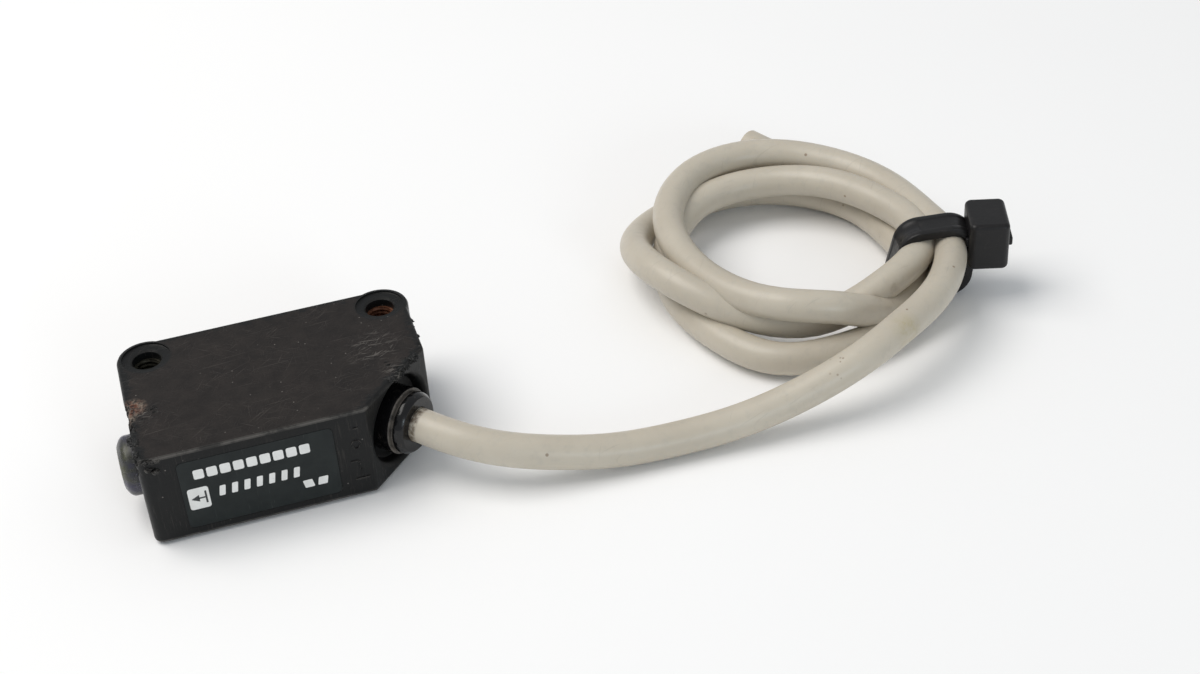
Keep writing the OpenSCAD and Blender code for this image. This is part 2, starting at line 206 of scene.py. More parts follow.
# ---------------------------------------------------------------- material tools
class Graph:
    """Short calls for building one material's nodes. Sockets and numbers may be mixed."""

    def __init__(self, name):
        self.material = bpy.data.materials.new(name)
        self.material.use_nodes = True
        self.tree = self.material.node_tree
        self.shader = self.tree.nodes["Principled BSDF"]
        self.place = self.node("ShaderNodeTexCoord").outputs["Object"]

    def node(self, kind, **settings):
        made = self.tree.nodes.new(kind)
        for key, value in settings.items():
            setattr(made, key, value)
        return made

    def feed(self, socket, value):
        if isinstance(value, bpy.types.NodeSocket):
            self.tree.links.new(value, socket)
        else:
            socket.default_value = value

    def set(self, **values):
        for key, value in values.items():
            self.feed(self.shader.inputs[key.replace("_", " ")], value)

    def calc(self, kind, a, b=0.0, c=0.0):
        made = self.node("ShaderNodeMath", operation=kind)
        for socket, value in zip(made.inputs, (a, b, c)):
            self.feed(socket, value)
        return made.outputs[0]

    def times(self, *values):
        total = values[0]
        for value in values[1:]:
            total = self.calc("MULTIPLY", total, value)
        return total

    def plus(self, a, b):
        return self.calc("ADD", a, b)

    def most(self, *values):
        total = values[0]
        for value in values[1:]:
            total = self.calc("MAXIMUM", total, value)
        return total

    def stretch(self, size=(1, 1, 1), turn=0.0, move=(0, 0, 0), source=None):
        """Coordinates turned about Z, then drawn out by size along each axis."""
        made = self.node("ShaderNodeMapping", vector_type="TEXTURE")
        self.feed(made.inputs["Vector"], source or self.place)
        made.inputs["Scale"].default_value = size
        made.inputs["Rotation"].default_value = (0, 0, math.radians(turn))
        made.inputs["Location"].default_value = move
        return made.outputs[0]

    def noise(self, size_mm, detail=3.0, rough=0.55, warp=0.0, source=None, move=(0, 0, 0)):
        """Soft noise whose patches are about size_mm across."""
        made = self.node("ShaderNodeTexNoise")
        self.feed(made.inputs["Vector"], source or self.stretch(move=move))
        made.inputs["Scale"].default_value = 1 / (size_mm * MM)
        made.inputs["Detail"].default_value = detail
        made.inputs["Roughness"].default_value = rough
        made.inputs["Distortion"].default_value = warp
        return made.outputs["Fac"]

    def cells(self, size_mm, feature="F1", source=None):
        made = self.node("ShaderNodeTexVoronoi", feature=feature)
        self.feed(made.inputs["Vector"], source or self.place)
        made.inputs["Scale"].default_value = 1 / (size_mm * MM)
        return made.outputs["Distance"]

    def span(self, value, low, high, to_low=0.0, to_high=1.0):
        """value from low..high to to_low..to_high, held at the ends."""
        made = self.node("ShaderNodeMapRange")
        for socket, v in zip(made.inputs, (value, low, high, to_low, to_high)):
            self.feed(socket, v)
        return made.outputs[0]

    def mix(self, amount, a, b):
        made = self.node("ShaderNodeMix", data_type="RGBA")
        self.feed(made.inputs["Factor"], amount)
        for socket, value in ((made.inputs[6], a), (made.inputs[7], b)):
            self.feed(socket, value if isinstance(value, bpy.types.NodeSocket) else (*value, 1))
        return made.outputs[2]

    def near(self, x, y, z, reach_mm, soft_mm):
        """1 within reach of a point, falling to 0 over soft_mm."""
        away = self.node("ShaderNodeVectorMath", operation="DISTANCE")
        self.feed(away.inputs[0], self.place)
        away.inputs[1].default_value = mm(x, y, z)
        return self.span(away.outputs["Value"], reach_mm * MM, (reach_mm + soft_mm) * MM, 1.0, 0.0)

    def xyz(self, source=None):
        made = self.node("ShaderNodeSeparateXYZ")
        self.feed(made.inputs[0], source or self.place)
        return made.outputs

    def bump(self, height, depth_mm, strength=1.0):
        made = self.node("ShaderNodeBump")
        made.inputs["Distance"].default_value = depth_mm * MM
        made.inputs["Strength"].default_value = strength
        self.feed(made.inputs["Height"], height)
        self.feed(self.shader.inputs["Normal"], made.outputs[0])


def streaks(g, turn, length_mm, width_mm, cut, seed):
    """Thin scratches about length_mm long that run at turn degrees from X."""
    lie = g.stretch((1, width_mm / length_mm, 1), turn=turn, move=(seed, seed * 0.7, 0))
    return g.span(g.noise(length_mm, detail=2.0, source=lie), cut, cut + 0.05)


# ---------------------------------------------------------------- materials
BLACK_PLASTIC = (0.0075, 0.008, 0.0082)
WORN_DARK = (0.0165, 0.0135, 0.0125)
WORN_LIGHT = (0.026, 0.0215, 0.0195)
SCRATCHED = (0.085, 0.075, 0.068)
PALE_WEAR = (0.19, 0.175, 0.16)
JACKET = (0.50, 0.452, 0.37)
JACKET_PALE = (0.545, 0.497, 0.412)
JACKET_GREY = (0.40, 0.38, 0.33)
GRIME = (0.09, 0.06, 0.035)


def worn_faces(g, ragged):
    """1 on the two broad faces, where they are rubbed brown; 0 near their edges and holes."""
    x, y, _ = g.xyz()
    normal = g.node("ShaderNodeNewGeometry").outputs["True Normal"]
    lie = g.calc("ABSOLUTE", g.xyz(normal)[2])
    low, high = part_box("case")
    # the distance in from the cut corner's face, and then from the nearest side
    inset = g.plus(g.plus(y, -low.y), g.calc("SUBTRACT", high.x - CUT_LEG * MM, x))
    inset = g.times(inset, math.sqrt(0.5))
    for side in (g.plus(x, -low.x), g.calc("SUBTRACT", high.x, x), g.calc("SUBTRACT", high.y, y)):
        inset = g.calc("MINIMUM", inset, side)
    inset = g.plus(inset, g.span(ragged, 0.3, 0.7, -0.7 * MM, 0.7 * MM))
    worn = g.times(g.span(lie, 0.85, 0.97), g.span(inset, 0.35 * MM, 0.95 * MM))
    for hole in HOLES_X:
        for level in (low.z / MM, high.z / MM):
            worn = g.times(worn, g.calc("SUBTRACT", 1.0, g.near(hole, 0, level, 2.5, 0.35)))
    return worn, lie


def case_plastic():
    g = Graph("case_black_plastic")
    ragged = g.noise(0.9, detail=5, rough=0.7)
    broad, lie = worn_faces(g, ragged)
    edge = g.span(g.calc("MULTIPLY", lie, g.calc("SUBTRACT", 1.0, lie)), 0.08, 0.2)
    cloud = g.noise(7, detail=4)
    mottle = g.noise(1.8, detail=6, rough=0.7)
    grain = g.noise(0.22, detail=3)
    marks = g.most(*(streaks(g, turn, size, wide, cut, seed) for turn, size, wide, cut, seed in (
        (4, 7, 0.16, 0.66, 0.11), (-11, 5, 0.14, 0.67, 0.37), (24, 5, 0.12, 0.67, 0.73),
        (41, 4, 0.14, 0.65, 0.47), (63, 3.5, 0.14, 0.66, 0.21), (-38, 3.5, 0.12, 0.66, 0.53),
        (88, 3, 0.12, 0.67, 0.83))))
    marks = g.times(marks, g.span(g.noise(4, detail=3, move=(1, 6, 2)), 0.42, 0.6, 0.15, 1.0))
    rubbed = g.most(g.near(10.5, -7.6, 11.2, 1.4, 2.2), g.near(12, -12.3, 11.2, 0.5, 1.8),
                    g.near(-14, -9.6, 11.2, 0.5, 1.6))
    patch = g.times(rubbed, g.most(streaks(g, -8, 2.4, 0.22, 0.6, 0.91), streaks(g, 24, 1.8, 0.2, 0.61, 1.3),
                                   streaks(g, 55, 1.4, 0.16, 0.63, 0.3)))
    speck = g.times(g.span(g.cells(1.1), 0.085, 0.04), g.span(g.noise(3, move=(3, 1, 2)), 0.46, 0.56))
    # the rounded rims are paler, most of all along the front rim
    front = g.span(g.xyz()[1], -16.6 * MM, -16.85 * MM)
    pale_rim = g.times(edge, g.plus(g.times(front, 0.7), 0.12), g.span(mottle, 0.4, 0.55, 0.35, 1.0))
    burnt = g.times(g.near(-15.0, -8.2, 10.8, 0.7, 1.0), g.span(g.noise(0.4, detail=4), 0.38, 0.56))
    brown = g.mix(g.span(mottle, 0.38, 0.62), WORN_DARK, WORN_LIGHT)
    colour = g.mix(g.times(broad, g.span(cloud, 0.3, 0.7, 0.75, 1.0)), BLACK_PLASTIC, brown)
    colour = g.mix(g.times(g.span(grain, 0.45, 0.75), 0.35), colour, (0.004, 0.004, 0.004))
    colour = g.mix(g.times(marks, g.plus(g.times(broad, 0.25), 0.2)), colour, SCRATCHED)
    colour = g.mix(g.times(patch, 0.45), colour, PALE_WEAR)
    colour = g.mix(g.times(pale_rim, 0.6), colour, PALE_WEAR)
    colour = g.mix(g.times(speck, 0.8), colour, PALE_WEAR)
    scorched = g.mix(g.span(ragged, 0.4, 0.6), (0.13, 0.045, 0.025), (0.36, 0.29, 0.23))
    colour = g.mix(g.times(burnt, 0.8), colour, scorched)
    # painted shade: in and round the gland's pocket the colour goes near black, and the gloss below is
    # halved there too
    pocket_shade = g.near(11.5, -13.2, 5.6, 4.7, 0.7)
    colour = g.mix(g.times(pocket_shade, 0.85), colour, (0.002, 0.002, 0.002))
    rough = g.plus(g.span(mottle, 0.35, 0.65, 0.3, 0.42), g.times(broad, 0.16))
    g.set(Base_Color=colour, Roughness=g.plus(rough, g.times(marks, 0.1)))
    gloss = g.times(g.span(broad, 0.0, 1.0, 0.19, 0.16), g.span(pocket_shade, 0.0, 1.0, 1.0, 0.5))
    g.feed(g.shader.inputs["Specular IOR Level"], gloss)
    height = g.plus(g.times(grain, 0.35), g.times(mottle, 0.9))
    height = g.calc("SUBTRACT", height, g.times(g.most(marks, patch), 0.9))
    g.bump(height, 0.05, 0.6)
    return g.material


def gland_rubber():
    g = Graph("gland_glossy_black")
    x, y, _ = g.xyz()
    case_low, case_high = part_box("case")
    out = g.calc("SUBTRACT", g.times(g.calc("SUBTRACT", x, y), math.sqrt(0.5)),
                 (case_high.x - case_low.y - CUT_LEG * MM) * math.sqrt(0.5))
    fine = g.noise(0.9, detail=5, rough=0.7)
    # dust lies in a few patches; the pale ring in the groove is partly dust and partly a painted highlight
    groove_dust_and_highlight = g.times(g.span(out, 0.62 * MM, 0.75 * MM), g.span(out, 1.2 * MM, 1.05 * MM))
    dust = g.times(g.span(fine, 0.56, 0.72), g.span(g.noise(4, move=(5, 2, 1)), 0.45, 0.6))
    dust = g.most(g.times(dust, 0.5), g.times(groove_dust_and_highlight, g.span(fine, 0.3, 0.6)))
    g.set(Base_Color=g.mix(dust, (0.004, 0.004, 0.0045), (0.12, 0.105, 0.09)),
          Roughness=g.plus(g.span(g.noise(2.4), 0.3, 0.7, 0.15, 0.27), g.times(dust, 0.3)))
    g.shader.inputs["Specular IOR Level"].default_value = 0.36
    g.bump(g.noise(0.7, detail=4), 0.04, 0.4)
    return g.material


def smoky_cover():
    g = Graph("indicator_smoky_acrylic")
    cloud = g.noise(2.6, detail=4, warp=0.6)
    tint = g.mix(g.span(cloud, 0.35, 0.65), (0.065, 0.06, 0.14), (0.1, 0.105, 0.05))
    g.set(Base_Color=tint, Roughness=g.span(g.noise(0.8, detail=4), 0.3, 0.7, 0.2, 0.42),
          Transmission_Weight=0.55)
    g.shader.inputs["IOR"].default_value = 1.45
    g.shader.inputs["Specular IOR Level"].default_value = 0.4
    g.bump(g.noise(0.9, detail=4), 0.12, 0.6)
    return g.material


def red_window():
    g = Graph("window_smoked_red_acrylic")
    marks = g.most(streaks(g, 8, 5, 0.08, 0.67, 0.4), streaks(g, -30, 4, 0.08, 0.69, 1.7))
    g.set(Base_Color=g.mix(g.noise(6, detail=2), (0.13, 0.006, 0.008), (0.2, 0.012, 0.012)),
          Roughness=g.plus(g.span(g.noise(2.2), 0.3, 0.7, 0.06, 0.14), g.times(marks, 0.25)),
          Transmission_Weight=0.7)
    g.shader.inputs["IOR"].default_value = 1.49
    g.bump(g.plus(g.noise(3), g.times(marks, 0.5)), 0.01, 0.25)
    return g.material


def cable_jacket():
    g = Graph("cable_cream_pvc")
    blotch = g.noise(9, detail=4)
    fine = g.noise(1.1, detail=5, rough=0.65)
    grain = g.noise(0.25, detail=2)
    colour = g.mix(g.span(blotch, 0.35, 0.65), JACKET, JACKET_PALE)
    colour = g.mix(g.times(g.span(fine, 0.52, 0.75), 0.35), colour, JACKET_GREY)
    # faint long rubs, brown specks, and stains where hands and oil have been
    rub = g.most(streaks(g, 8, 7, 0.3, 0.66, 0.2), streaks(g, 55, 5, 0.25, 0.68, 0.6))
    colour = g.mix(g.times(rub, 0.18), colour, (0.3, 0.27, 0.22))
    speck = g.times(g.span(g.cells(2.6), 0.085, 0.05), g.span(g.noise(8, move=(2, 4, 1)), 0.5, 0.56))
    cluster = g.times(g.span(g.cells(0.8), 0.2, 0.12), g.near(57.1, -23.1, 6.8, 0.6, 1.4))
    speck = g.most(speck, cluster, g.near(66.45, -19.1, 8.8, 0.1, 0.07),
                   g.near(70.05, -17.8, 8.3, 0.12, 0.07))
    colour = g.mix(g.times(speck, 0.75), colour, (0.2, 0.13, 0.075))
    stain = g.times(g.near(65.6, -21, 7.7, 0.7, 1.5), g.span(fine, 0.3, 0.6))
    colour = g.mix(g.times(stain, 0.5), colour, (0.42, 0.35, 0.17))
    held = g.times(g.most(g.near(68.7, -12.3, 6.2, 0.3, 1.8), g.near(66.8, -12.2, 5.2, 0.3, 1.6)),
                   g.span(g.noise(1.6, detail=3), 0.42, 0.66))
    colour = g.mix(g.times(held, 0.6), colour, (0.21, 0.155, 0.1))
    mouth = g.near(GLAND_EXIT.x / MM, GLAND_EXIT.y / MM, GLAND_EXIT.z / MM, 1.9, 0.12)
    ring = g.times(mouth, g.span(g.noise(0.7, detail=5, rough=0.7), 0.36, 0.55))
    colour = g.mix(g.times(ring, 0.85), colour, GRIME)
    g.set(Base_Color=colour, Roughness=g.span(fine, 0.3, 0.7, 0.33, 0.43),
          Subsurface_Weight=0.12, Coat_Weight=0.0)
    g.shader.inputs["Subsurface Scale"].default_value = 0.0006
    g.shader.inputs["Subsurface Radius"].default_value = (1.0, 0.75, 0.5)
    g.shader.inputs["Specular IOR Level"].default_value = 0.5
    g.bump(g.plus(g.times(fine, 0.5), g.plus(g.times(grain, 0.3), g.noise(3.2, detail=2))), 0.05, 0.4)
    return g.material


def tie_nylon():
    g = Graph("tie_black_nylon")
    fine = g.noise(0.5, detail=4)
    marks = g.most(streaks(g, -12, 4, 0.1, 0.66, 0.9), streaks(g, 70, 3, 0.1, 0.69, 0.3))
    dust = g.times(g.span(g.noise(1.2, detail=5, rough=0.7), 0.55, 0.7), 0.4)
    pale = g.plus(g.times(marks, 0.3), g.times(dust, 0.4))
    colour = g.mix(pale, (0.0105, 0.01, 0.0105), (0.06, 0.052, 0.047))
    g.set(Base_Color=colour, Roughness=g.span(fine, 0.3, 0.7, 0.3, 0.42))
    g.shader.inputs["Specular IOR Level"].default_value = 0.27
    g.bump(g.plus(g.times(fine, 0.5), g.noise(2, detail=2)), 0.04, 0.35)
    return g.material


def label_film():
    g = Graph("label_dark_green_film")
    marks = g.most(streaks(g, 80, 4, 0.08, 0.7, 0.2), streaks(g, 30, 3, 0.08, 0.7, 1.1))
    mottle = g.noise(2.2, detail=5, rough=0.65)
    colour = g.mix(g.span(mottle, 0.4, 0.7), (0.008, 0.0115, 0.012), (0.013, 0.0175, 0.0175))
    g.set(Base_Color=g.mix(g.times(marks, 0.35), colour, (0.07, 0.075, 0.075)),
          Roughness=g.span(g.noise(1.3, detail=3), 0.3, 0.7, 0.3, 0.42))
    g.shader.inputs["Specular IOR Level"].default_value = 0.22
    g.bump(g.plus(mottle, g.times(marks, 0.4)), 0.012, 0.3)
    return g.material


def white_ink():
    g = Graph("label_white_ink")
    worn = g.span(g.noise(0.5, detail=5, rough=0.75), 0.62, 0.72)
    colour = g.mix(g.span(g.noise(1.4), 0.3, 0.7), (0.72, 0.72, 0.7), (0.82, 0.82, 0.8))
    g.set(Base_Color=g.mix(g.times(worn, 0.5), colour, (0.3, 0.31, 0.3)),
          Roughness=g.span(g.noise(0.8), 0.3, 0.7, 0.4, 0.55))
    g.bump(g.noise(0.3), 0.005, 0.3)
    return g.material


def dark_ink():
    g = Graph("label_dark_ink")
    g.set(Base_Color=g.mix(g.noise(0.6, detail=4), (0.012, 0.016, 0.018), (0.03, 0.034, 0.036)),
          Roughness=g.span(g.noise(0.8), 0.3, 0.7, 0.35, 0.5))
    g.bump(g.noise(0.3), 0.005, 0.3)
    return g.material


def insert_metal():
    g = Graph("insert_dirty_brass")
    right = g.span(g.xyz()[0], 0.0, MM)
    flake = g.noise(0.7, detail=5, rough=0.7)
    rust = g.mix(g.span(flake, 0.35, 0.65), (0.09, 0.032, 0.017), (0.2, 0.085, 0.045))
    tarnish = g.mix(g.span(flake, 0.35, 0.65), (0.03, 0.027, 0.022), (0.085, 0.08, 0.06))
    g.set(Base_Color=g.mix(right, tarnish, rust), Roughness=g.span(flake, 0.3, 0.7, 0.28, 0.6),
          Metallic=g.span(right, 0.0, 1.0, 0.75, 0.35))
    g.bump(flake, 0.05, 0.5)
    return g.material


def plain_family(name, dark, light, rough, size_mm, metallic=0.0, transmission=0.0, bump_mm=0.02):
    """A material with small colour and gloss changes, for the parts inside."""
    g = Graph(name)
    cloud = g.noise(size_mm, detail=4)
    g.set(Base_Color=g.mix(g.span(cloud, 0.3, 0.7), dark, light),
          Roughness=g.span(g.noise(size_mm * 0.4, detail=3), 0.3, 0.7, rough - 0.06, rough + 0.08))
    g.shader.inputs["Metallic"].default_value = metallic
    g.shader.inputs["Transmission Weight"].default_value = transmission
    g.bump(g.noise(size_mm * 0.25, detail=3), bump_mm, 0.3)
    return g.material


def circuit_board():
    g = Graph("board_green_mask")
    x, y, _ = g.xyz()
    lane = g.span(g.calc("FRACT", g.times(g.plus(x, y), 1 / (1.1 * MM))), 0.62, 0.66)
    track = g.times(lane, g.span(g.noise(2.5), 0.5, 0.52))
    via = g.span(g.cells(1.8), 0.12, 0.1)
    colour = g.mix(g.times(track, 0.6), (0.012, 0.075, 0.03), (0.03, 0.15, 0.06))
    g.set(Base_Color=g.mix(via, colour, (0.55, 0.42, 0.18)),
          Roughness=g.span(g.noise(1.2), 0.3, 0.7, 0.28, 0.4))
    g.bump(g.plus(track, via), 0.02, 0.4)
    return g.material


def chip_ends(name, body_dark, body_light, pitch_mm, middle_mm):
    """A chip part's body with bright solder ends, told apart by a slow pattern."""
    g = Graph(name)
    cloud = g.noise(0.5, detail=3)
    metal = g.span(g.cells(pitch_mm), middle_mm, middle_mm + 0.05)
    g.set(Base_Color=g.mix(metal, g.mix(cloud, body_dark, body_light), (0.6, 0.6, 0.62)),
          Metallic=g.times(metal, 0.9), Roughness=g.span(cloud, 0.3, 0.7, 0.3, 0.45))
    g.bump(cloud, 0.01, 0.3)
    return g.material


# ---------------------------------------------------------------- mesh tools
def add_piece(name, data, material, smooth_angle=32):
    """Links a finished mesh as a piece of the object."""
    piece = bpy.data.objects.new(name, data)
    bpy.context.scene.collection.objects.link(piece)
    data.materials.clear()
    data.materials.append(material)
    finish_shading(piece, smooth_angle)
    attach(piece, ROOT)
    return piece


def finish_shading(piece, smooth_angle=32):
    data = piece.data
    data.shade_smooth()
    data.set_sharp_from_angle(angle=math.radians(smooth_angle))
    weigh = piece.modifiers.new("even_normals", "WEIGHTED_NORMAL")
    weigh.keep_sharp = True


def mesh_of(bm, name):
    bmesh.ops.recalc_face_normals(bm, faces=bm.faces)
    data = bpy.data.meshes.new(name)
    bm.to_mesh(data)
    bm.free()
    return data


def loft(rings, closed_ends=True):
    """A skin over equal rings of points, with flat ends."""
    bm = bmesh.new()
    rows = [[bm.verts.new(p) for p in ring] for ring in rings]
    count = len(rows[0])
    for a, b in zip(rows, rows[1:]):
        for k in range(count):
            j = (k + 1) % count
            bm.faces.new((a[k], a[j], b[j], b[k]))
    if closed_ends:
        bm.faces.new(list(reversed(rows[0])))
        bm.faces.new(rows[-1])
    return bm


def closed_skin(rings):
    """A skin over equal rings of points, whose last ring joins its first."""
    bm = bmesh.new()
    rows = [[bm.verts.new(p) for p in ring] for ring in rings]
    count = len(rings[0])
    for a, b in zip(rows, rows[1:] + rows[:1]):
        for k in range(count):
            j = (k + 1) % count
            bm.faces.new((a[k], a[j], b[j], b[k]))
    return bm


def joined(parts, name):
    """One mesh of several solids."""
    whole = bmesh.new()
    for part in parts:
        data = bpy.data.meshes.new("part")
        part.to_mesh(data)
        part.free()
        whole.from_mesh(data)
        bpy.data.meshes.remove(data)
    return mesh_of(whole, name)


def turned(profile, place, sides=72):
    """A solid turned from (radius, height) pairs, both in mm, and put at place."""
    rings = []
    for radius, height in profile:
        ring = []
        for k in range(sides):
            a = 2 * math.pi * k / sides
            ring.append(place @ mm(radius * math.cos(a), radius * math.sin(a), height))
        rings.append(ring)
    return loft(rings)


def round_corners(corners, inset=0.0, steps=10):
    """Outline of a convex shape given by (x, y, radius) corners, anticlockwise, moved in by
    inset. Each corner gives the same number of points whatever the inset."""
    lines = []
    for (x0, y0, _), (x1, y1, _) in zip(corners, corners[1:] + corners[:1]):
        along = Vector((x1 - x0, y1 - y0)).normalized()
        inward = Vector((-along.y, along.x))
        lines.append((Vector((x0, y0)) + inward * inset, along, inward))
    outline = []
    for i, (_, _, radius) in enumerate(corners):
        (p, d, n), (q, e, m) = lines[i - 1], lines[i]
        t = (q - p).cross(e) / d.cross(e)
        corner = p + d * t
        r = max(radius - inset, 0.02)
        half = math.acos(max(-1, min(1, d.dot(e)))) / 2
        centre = corner + (n + m).normalized() * (r / math.cos(half))
        start = math.atan2(-n.y, -n.x)
        for k in range(steps + 1):
            a = start + 2 * half * k / steps
            outline.append((centre.x + r * math.cos(a), centre.y + r * math.sin(a)))
    return outline


def plate(corners, low, high, edge, place=None, steps=10, edge_steps=4, low_edge=None):
    """A prism over a convex outline, in mm, with its rim edges rounded by edge and low_edge."""
    place = place or Matrix.Identity(4)
    levels = []
    for r, z, way in ((low_edge or edge, low, 1), (edge, high, -1)):
        for k in range(edge_steps + 1)[::way]:
            a = math.pi / 2 * k / edge_steps
            levels.append((r * (1 - math.sin(a)), z + way * r * (1 - math.cos(a))))
    rings = []
    for inset, z in levels:
        rings.append([place @ mm(x, y, z) for x, y in round_corners(corners, inset, steps)])
    return loft(rings)


def rectangle(x0, y0, x1, y1, r):
    return [(x0, y0, r), (x1, y0, r), (x1, y1, r), (x0, y1, r)]


def cut(piece, shapes, operation="DIFFERENCE"):
    """Takes the shapes out of piece, or adds them to it, and keeps the result as its mesh."""
    made = []
    for i, bm in enumerate(shapes):
        tool = bpy.data.objects.new(f"tool_{i}", mesh_of(bm, f"tool_{i}"))
        bpy.context.scene.collection.objects.link(tool)
        made.append(tool)
        step = piece.modifiers.new(f"cut_{i}", "BOOLEAN")
        step.operation = operation
        step.solver = "EXACT"
        step.object = tool
    bpy.context.view_layer.update()
    ready = piece.evaluated_get(bpy.context.evaluated_depsgraph_get())
    data = bpy.data.meshes.new_from_object(ready)
    piece.modifiers.clear()
    piece.data = data
    for tool in made:
        bpy.data.objects.remove(tool)


def chip_out(x, y, z, size, stretch=(1, 1, 1), seed=0):
    """A rough lump for breaking a chip out of an edge."""
    bm = bmesh.new()
    bmesh.ops.create_icosphere(bm, subdivisions=4, radius=1)
    for v in bm.verts:
        bulge = 1 + 0.34 * noise.fractal(v.co * 1.7 + Vector((seed, 0, 0)), 1, 2, 4)
        v.co = mm(x, y, z) + Vector(c * s for c, s in zip(v.co, stretch)) * (size * bulge * MM)
    return bm


def from_node(name, node, material, edge_mm, segments=3, least_angle=35, smooth_angle=32):
    """The CAD node's shape with rounded edges, in place of the node."""
    bm = bmesh.new()
    bm.from_mesh(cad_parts[node].data)
    bmesh.ops.remove_doubles(bm, verts=bm.verts, dist=1e-7)
    bmesh.ops.dissolve_limit(bm, angle_limit=math.radians(1), verts=bm.verts, edges=bm.edges)
    sharp = [e for e in bm.edges if len(e.link_faces) == 2
             and e.calc_face_angle(0) > math.radians(least_angle)]
    bmesh.ops.bevel(bm, geom=sharp, offset=edge_mm * MM, segments=segments, profile=0.5,
                    affect="EDGES", clamp_overlap=True)
    piece = add_piece(name, mesh_of(bm, name), material, smooth_angle)
    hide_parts(node)
    return piece


# ---------------------------------------------------------------- cable
def make_cable(material):
    data = bpy.data.curves.new("cable", "CURVE")
    data.dimensions = "3D"
    data.bevel_depth = CABLE_D / 2 * MM
    data.bevel_resolution = 10
    data.use_fill_caps = True
    spline = data.splines.new("POLY")
    spline.points.add(len(cable_line) - 1)
    for point, (x, y, z) in zip(spline.points, cable_line):
        point.co = (x * MM, y * MM, z * MM, 1)
    spline.use_smooth = True
    data.materials.append(material)
    cable = bpy.data.objects.new("cable", data)
    bpy.context.scene.collection.objects.link(cable)
    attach(cable, ROOT)
    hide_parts("cable_lead", "cable_coil")
    return cable


def make_cable_end(blue, brown):
    """The two cut cores that show in the cable's bare end."""
    tip, before = (Vector(cable_line[i]) * MM for i in (-1, -2))
    along = (tip - before).normalized()
    side = along.cross(Vector((0, 0, 1))).normalized()
    pieces = []
    for name, sign, material in (("cable_end_brown", 1, brown), ("cable_end_blue", -1, blue)):
        turn = along.to_track_quat("Z", "Y").to_matrix().to_4x4()
        place = Matrix.Translation(tip + side * sign * 0.68 * MM) @ turn
        bm = turned([(0.5, -0.4), (0.55, -0.3), (0.55, 0.08), (0.5, 0.14), (0.3, 0.14), (0.27, 0.06)],
                    place, sides=24)
        pieces.append(add_piece(name, mesh_of(bm, name), material))
    return pieces


# ---------------------------------------------------------------- tie
HEAD_TURN = math.radians(-18)
STRAP_W = 3.6
STRAP_T = 1.1


def tie_place(turn=TIE_TURN):
    return Matrix.Translation(mm(*TIE_MIDDLE, 0)) @ Matrix.Rotation(turn, 4, "Z")


def belt(radius, steps=14):
    """(x, z) points of a belt that runs radius away round the four strands."""
    path = []
    for i, (x, z) in enumerate(STRANDS):
        before, after = STRANDS[i - 1], STRANDS[(i + 1) % len(STRANDS)]
        a0 = math.atan2(z - before[1], x - before[0]) - math.pi / 2
        a1 = math.atan2(after[1] - z, after[0] - x) - math.pi / 2
        if a1 < a0:
            a1 += 2 * math.pi
        for k in range(steps + 1):
            a = a0 + (a1 - a0) * k / steps
            path.append((x + radius * math.cos(a), z + radius * math.sin(a)))
    return path


def make_tie_strap(material):
    inner, edge = CABLE_D / 2, 0.22
    half = STRAP_W / 2
    # the strap's cross-section: (distance from the strands' skin, place across the strap)
    section = [(0, -half + edge), (edge * 0.3, -half + edge * 0.3), (edge, -half),
               (STRAP_T - edge, -half), (STRAP_T - edge * 0.3, -half + edge * 0.3),
               (STRAP_T, -half + edge), (STRAP_T, -half * 0.55), (STRAP_T - 0.07, -half * 0.5),
               (STRAP_T - 0.07, half * 0.5), (STRAP_T, half * 0.55), (STRAP_T, half - edge),
               (STRAP_T - edge * 0.3, half - edge * 0.3), (STRAP_T - edge, half), (edge, half),
               (edge * 0.3, half - edge * 0.3), (0, half - edge)]
    place = tie_place()
    belts = [belt(inner + out) for out, _ in section]
    rings = []
    for i in range(len(belts[0])):
        rings.append([place @ mm(belts[k][i][0], section[k][1], belts[k][i][1])
                      for k in range(len(section))])
    return add_piece("tie_strap", mesh_of(closed_skin(rings), "tie_strap"), material, 40)


HEAD_LOW = (4.7, -3.0, 4.5)
HEAD_HIGH = (9.2, 3.0, 10.5)
TAIL_LOW = 7.0


def make_tie_head(material):
    place = tie_place(HEAD_TURN)
    x0, y0, z0 = HEAD_LOW
    x1, y1, z1 = HEAD_HIGH
    body = plate(rectangle(x0, y0, x1, y1, 0.75), z0, z1, 0.55, place, steps=6, edge_steps=5)
    piece = add_piece("tie_head", mesh_of(body, "tie_head"), material, 40)
    piece.modifiers.clear()
    # the mouth where the strap goes in, and the slot where its tail comes out
    mouth = plate(rectangle(x0 - 1, -STRAP_W / 2 - 0.15, x0 + 0.5, STRAP_W / 2 + 0.15, 0.1),
                  TAIL_LOW - 0.2, TAIL_LOW + STRAP_T + 0.4, 0.1, place, steps=2, edge_steps=2)
    exit_slot = plate(rectangle(x1 - 0.35, -STRAP_W / 2 - 0.2, x1 + 1, STRAP_W / 2 + 0.2, 0.1),
                      TAIL_LOW - 0.3, TAIL_LOW + STRAP_T + 0.5, 0.1, place, steps=2, edge_steps=2)
    cut(piece, [mouth, exit_slot])
    finish_shading(piece, 40)
    return piece


def make_tie_tail(material):
    """The strap's cut end, which stands out of the head."""
    bm = plate(rectangle(HEAD_LOW[0] - 0.3, -STRAP_W / 2, HEAD_HIGH[0] + 0.5, STRAP_W / 2, 0.2),
               TAIL_LOW, TAIL_LOW + STRAP_T, 0.2, tie_place(HEAD_TURN), steps=3, edge_steps=3)
    return add_piece("tie_tail", mesh_of(bm, "tie_tail"), material, 40)


